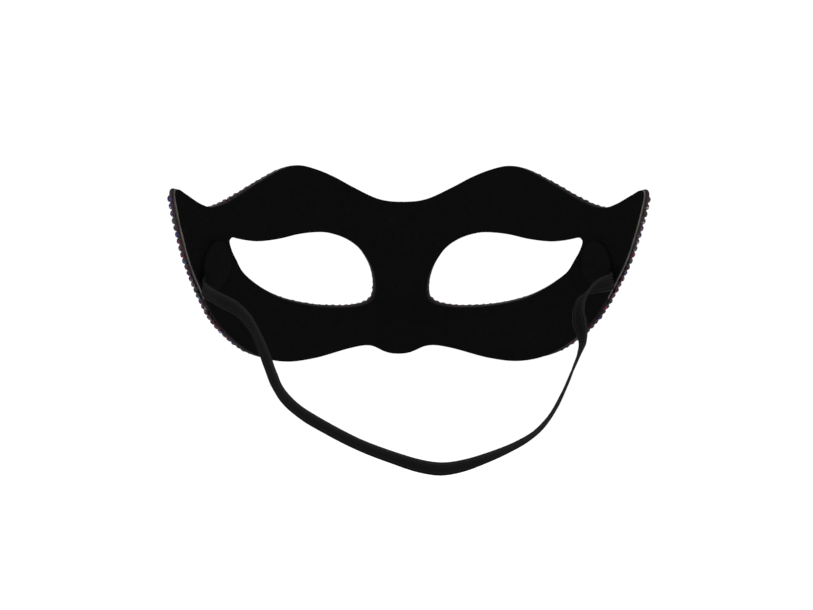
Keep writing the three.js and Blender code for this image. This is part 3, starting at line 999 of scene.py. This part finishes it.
def pad_piece(form, sizes, name, side, material):
    """An oval felt pad, domed over the end of the strap"""
    middle = np.array([form.bridge_half + 2 * form.eye_half_width + sizes.pad_past_eye, -sizes.pad_drop])
    line = strap_line()[0]
    cover = sizes.width * PAD_COVER
    room = sizes.thickness + PAD_ROOM

    def raised(places):
        """How far the pad is lifted over the strap: in full within half a cover of its middle line, and
        not at all from one and a half"""
        on_face = layer_points(form, places, 0.0)
        near = np.array([np.min(np.linalg.norm(line - p, axis=1)) for p in on_face])
        return room * eased(np.clip(1.5 - near / cover, 0, 1))

    def spread(share):
        """The pad's oval, scaled about its middle"""
        return (middle + ring * share) * (side, 1)

    loops = []
    shares = np.linspace(0, 1, PAD_RINGS + 1)
    turns = np.arange(PAD_SECTORS) / PAD_SECTORS * 2 * math.pi
    ring = np.stack([np.cos(turns) * sizes.pad_half_width, np.sin(turns) * sizes.pad_half_height], axis=1)
    for share in shares[1:]:
        places = spread(share)
        top = sizes.pad_crown - (sizes.pad_crown - sizes.pad_edge) * share**2
        loops.append(layer_points(form, places, -(top + raised(places) * PAD_DOME)))
    for bend in PAD_SIDE:
        places = spread(1 + PAD_BULGE * math.sin(bend * math.pi))
        lift = raised(places) * (PAD_DOME + bend / 2)
        loops.append(layer_points(form, places, -(sizes.pad_edge * (1 - bend) + lift)))
    for share in shares[:0:-1]:
        places = spread(share)
        loops.append(layer_points(form, places, -raised(places) * share))
    count = PAD_SECTORS
    points = [p for loop in loops for p in loop]
    faces = bands(len(loops), count)
    for start, depth in ((0, -sizes.pad_crown), ((len(loops) - 1) * count, 0.0)):
        points.append(layer_points(form, spread(0)[0], depth))
        faces += [(start + i, start + (i + 1) % count, len(points) - 1) for i in range(count)]
    return new_piece(name, points, faces, material)


# Operators


def settle(piece, slot, *nodes):
    """A finished piece rides on the mask's body and stands for its nodes"""
    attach(piece, "root")
    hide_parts(*nodes)


class MASK_OT_camera(bpy.types.Operator):
    """Place the camera level with the mask, on the wearer's side"""

    bl_idname = "mask.camera"
    bl_label = "Camera"

    def execute(self, context):
        azimuth, elevation = math.radians(176), math.radians(1)
        distance = 0.905
        level = math.cos(elevation)
        back = Vector((math.sin(azimuth) * level, -math.cos(azimuth) * level, math.sin(elevation)))
        rotation = (-back).to_track_quat("-Z", "Y")
        beside = rotation @ Vector((0.00172, -0.01642, 0))  # the picture's middle, seen from the origin
        data = bpy.data.cameras.new("camera")
        data.sensor_width = 36
        data.lens = 104.9
        data.clip_start = 0.01
        camera = placed("camera", data)
        camera.location = back * distance + beside
        camera.rotation_mode = "QUATERNION"
        camera.rotation_quaternion = rotation
        context.scene.camera = camera
        return {"FINISHED"}


class MASK_OT_strap(bpy.types.Operator):
    """Weave the elastic strap along its hanging route"""

    bl_idname = "mask.strap"
    bl_label = "Elastic strap"

    def execute(self, context):
        sizes, look = context.scene.strap_sizes, context.scene.mask_look
        piece, line = strap_piece(sizes, elastic_finish(look.elastic, RIBS))
        settle(piece, "black_elastic", "elastic_strap")
        return {"FINISHED"}


class MASK_OT_lining(bpy.types.Operator):
    """Line the shell with felt"""

    bl_idname = "mask.lining"
    bl_label = "Felt lining"

    def execute(self, context):
        form, look = context.scene.mask_form, context.scene.mask_look
        material = felt_finish("black_felt", look.felt, deepest=0.1, palest=0.92)
        edge = -form.felt_setback
        piece = wall_piece(form, "felt_lining", (0, form.felt), edge, edge, FELT_ROUND, material)
        settle(piece, "black_felt", "lining")
        return {"FINISHED"}


class MASK_OT_shell(bpy.types.Operator):
    """Mould the shell"""

    bl_idname = "mask.shell"
    bl_label = "Shell"

    def execute(self, context):
        form, look = context.scene.mask_form, context.scene.mask_look
        depths = (form.shell_from, form.shell_from + form.shell)
        material = plastic_finish(look.plastic)
        piece = wall_piece(form, "moulded_shell", depths, 0, 0, HARD_ROUND, material)
        settle(piece, "grey_plastic", "shell")
        return {"FINISHED"}


class MASK_OT_stones(bpy.types.Operator):
    """Set the cut stones on the front"""

    bl_idname = "mask.stones"
    bl_label = "Cut stones"

    def execute(self, context):
        form, cut = context.scene.mask_form, context.scene.stone_cut
        past_rim, past_eye = stones_past(form, EDGE_STEPS, cut.bed_overhang)
        front = form.shell_from + form.shell
        depths = (front + WALL_GAP, front + cut.bed)
        bed = wall_piece(form, "stone_bed", depths, past_rim, past_eye, HARD_ROUND, bed_finish())
        settle(bed, "dark_stone", "stone_field")
        places, sizes = StoneLayout(form, cut).both_halves()
        points = layer_points(form, places, front)
        mesh = bpy.data.meshes.new("stone_places")
        mesh.from_pydata([tuple(p) for p in points], [], [])
        layer = mesh.attributes.new("facing", "FLOAT_VECTOR", "POINT")
        layer.data.foreach_set("vector", facing(form, places[:, 0], places[:, 1]).ravel())
        layer = mesh.attributes.new("share", "FLOAT", "POINT")
        layer.data.foreach_set("value", sizes / cut.pitch)
        host = placed("stone_places", mesh)
        material = stone_finish()
        stone = cut_stone(material)
        piece = setting_tree(cut, stone, material).applied(host, "cut_stones")
        bpy.data.objects.remove(stone)
        settle(piece, "dark_stone", "stone_field")
        return {"FINISHED"}


class MASK_OT_pads(bpy.types.Operator):
    """Glue a felt pad over each end of the strap"""

    bl_idname = "mask.pads"
    bl_label = "Strap pads"

    def execute(self, context):
        form, sizes = context.scene.mask_form, context.scene.strap_sizes
        material = felt_finish("pad_felt", context.scene.mask_look.pad, deepest=0.1, palest=0.72)
        for word, side in SIDES.items():
            piece = pad_piece(form, sizes, f"felt_pad_{word}", side, material)
            settle(piece, "pad_felt", f"strap_pad_{word}")
        return {"FINISHED"}


FLOOR_RADIUS = 6

# Columns: name, place, size, watts
LIGHTS = [
    ("key", (0.8, 1.3, 0.9), 0.9, 6),
    ("fill", (-1.1, 1.1, 0.3), 0.9, 3),
    ("front", (0.4, -1.3, 0.9), 0.9, 8),
]


class MASK_OT_studio(bpy.types.Operator):
    """Lay the pale floor and hang the soft lights"""

    bl_idname = "mask.studio"
    bl_label = "Studio"

    def execute(self, context):
        look = context.scene.mask_look
        mesh = bpy.data.meshes.new("floor")
        shape = bmesh.new()
        bmesh.ops.create_circle(shape, cap_ends=True, segments=96, radius=FLOOR_RADIUS)
        bmesh.ops.translate(shape, verts=shape.verts, vec=(0, 0, look.floor_height))
        shape.to_mesh(mesh)
        shape.free()
        mesh.materials.append(floor_finish(look.floor))
        placed("floor", mesh)
        for name, place, size, power in LIGHTS:
            data = bpy.data.lights.new(name, "AREA")
            data.size = size
            data.energy = power
            light = placed(name, data)
            light.location = place
            light.rotation_euler = (-Vector(place)).to_track_quat("-Z", "Y").to_euler()
        world = bpy.data.worlds.new("studio")
        world.use_nodes = True
        sky = world.node_tree.nodes["Background"]
        sky.inputs["Color"].default_value = (1, 1, 1, 1)
        sky.inputs["Strength"].default_value = 1.04
        context.scene.world = world
        context.scene.view_settings.view_transform = "Standard"
        return {"FINISHED"}


STEPS = [
    MASK_OT_camera,
    MASK_OT_strap,
    MASK_OT_lining,
    MASK_OT_shell,
    MASK_OT_stones,
    MASK_OT_pads,
    MASK_OT_studio,
]
GROUPS = {
    "mask_form": MaskForm,
    "stone_cut": StoneCut,
    "strap_sizes": StrapSizes,
    "mask_look": MaskLook,
}


class MASK_PT_panel(bpy.types.Panel):
    """Sizes, colours and steps of the half mask"""

    bl_idname = "MASK_PT_panel"
    bl_label = "Half Mask"
    bl_space_type = "VIEW_3D"
    bl_region_type = "UI"
    bl_category = "Half Mask"

    def draw(self, context):
        for name, group in GROUPS.items():
            box = self.layout.box()
            box.label(text=group.__doc__)
            for key in group.__annotations__:
                box.prop(getattr(context.scene, name), key)
        for step in STEPS:
            self.layout.operator(step.bl_idname)


def register():
    for kind in (*GROUPS.values(), *STEPS, MASK_PT_panel):
        bpy.utils.register_class(kind)
    for name, group in GROUPS.items():
        setattr(bpy.types.Scene, name, PointerProperty(type=group))


def unregister():
    for name in GROUPS:
        delattr(bpy.types.Scene, name)
    for kind in (MASK_PT_panel, *reversed(STEPS), *reversed(GROUPS.values())):
        bpy.utils.unregister_class(kind)


def main():
    register()
    for step in STEPS:
        family, name = step.bl_idname.split(".")
        getattr(getattr(bpy.ops, family), name)()


if __name__ == "__main__":
    main()
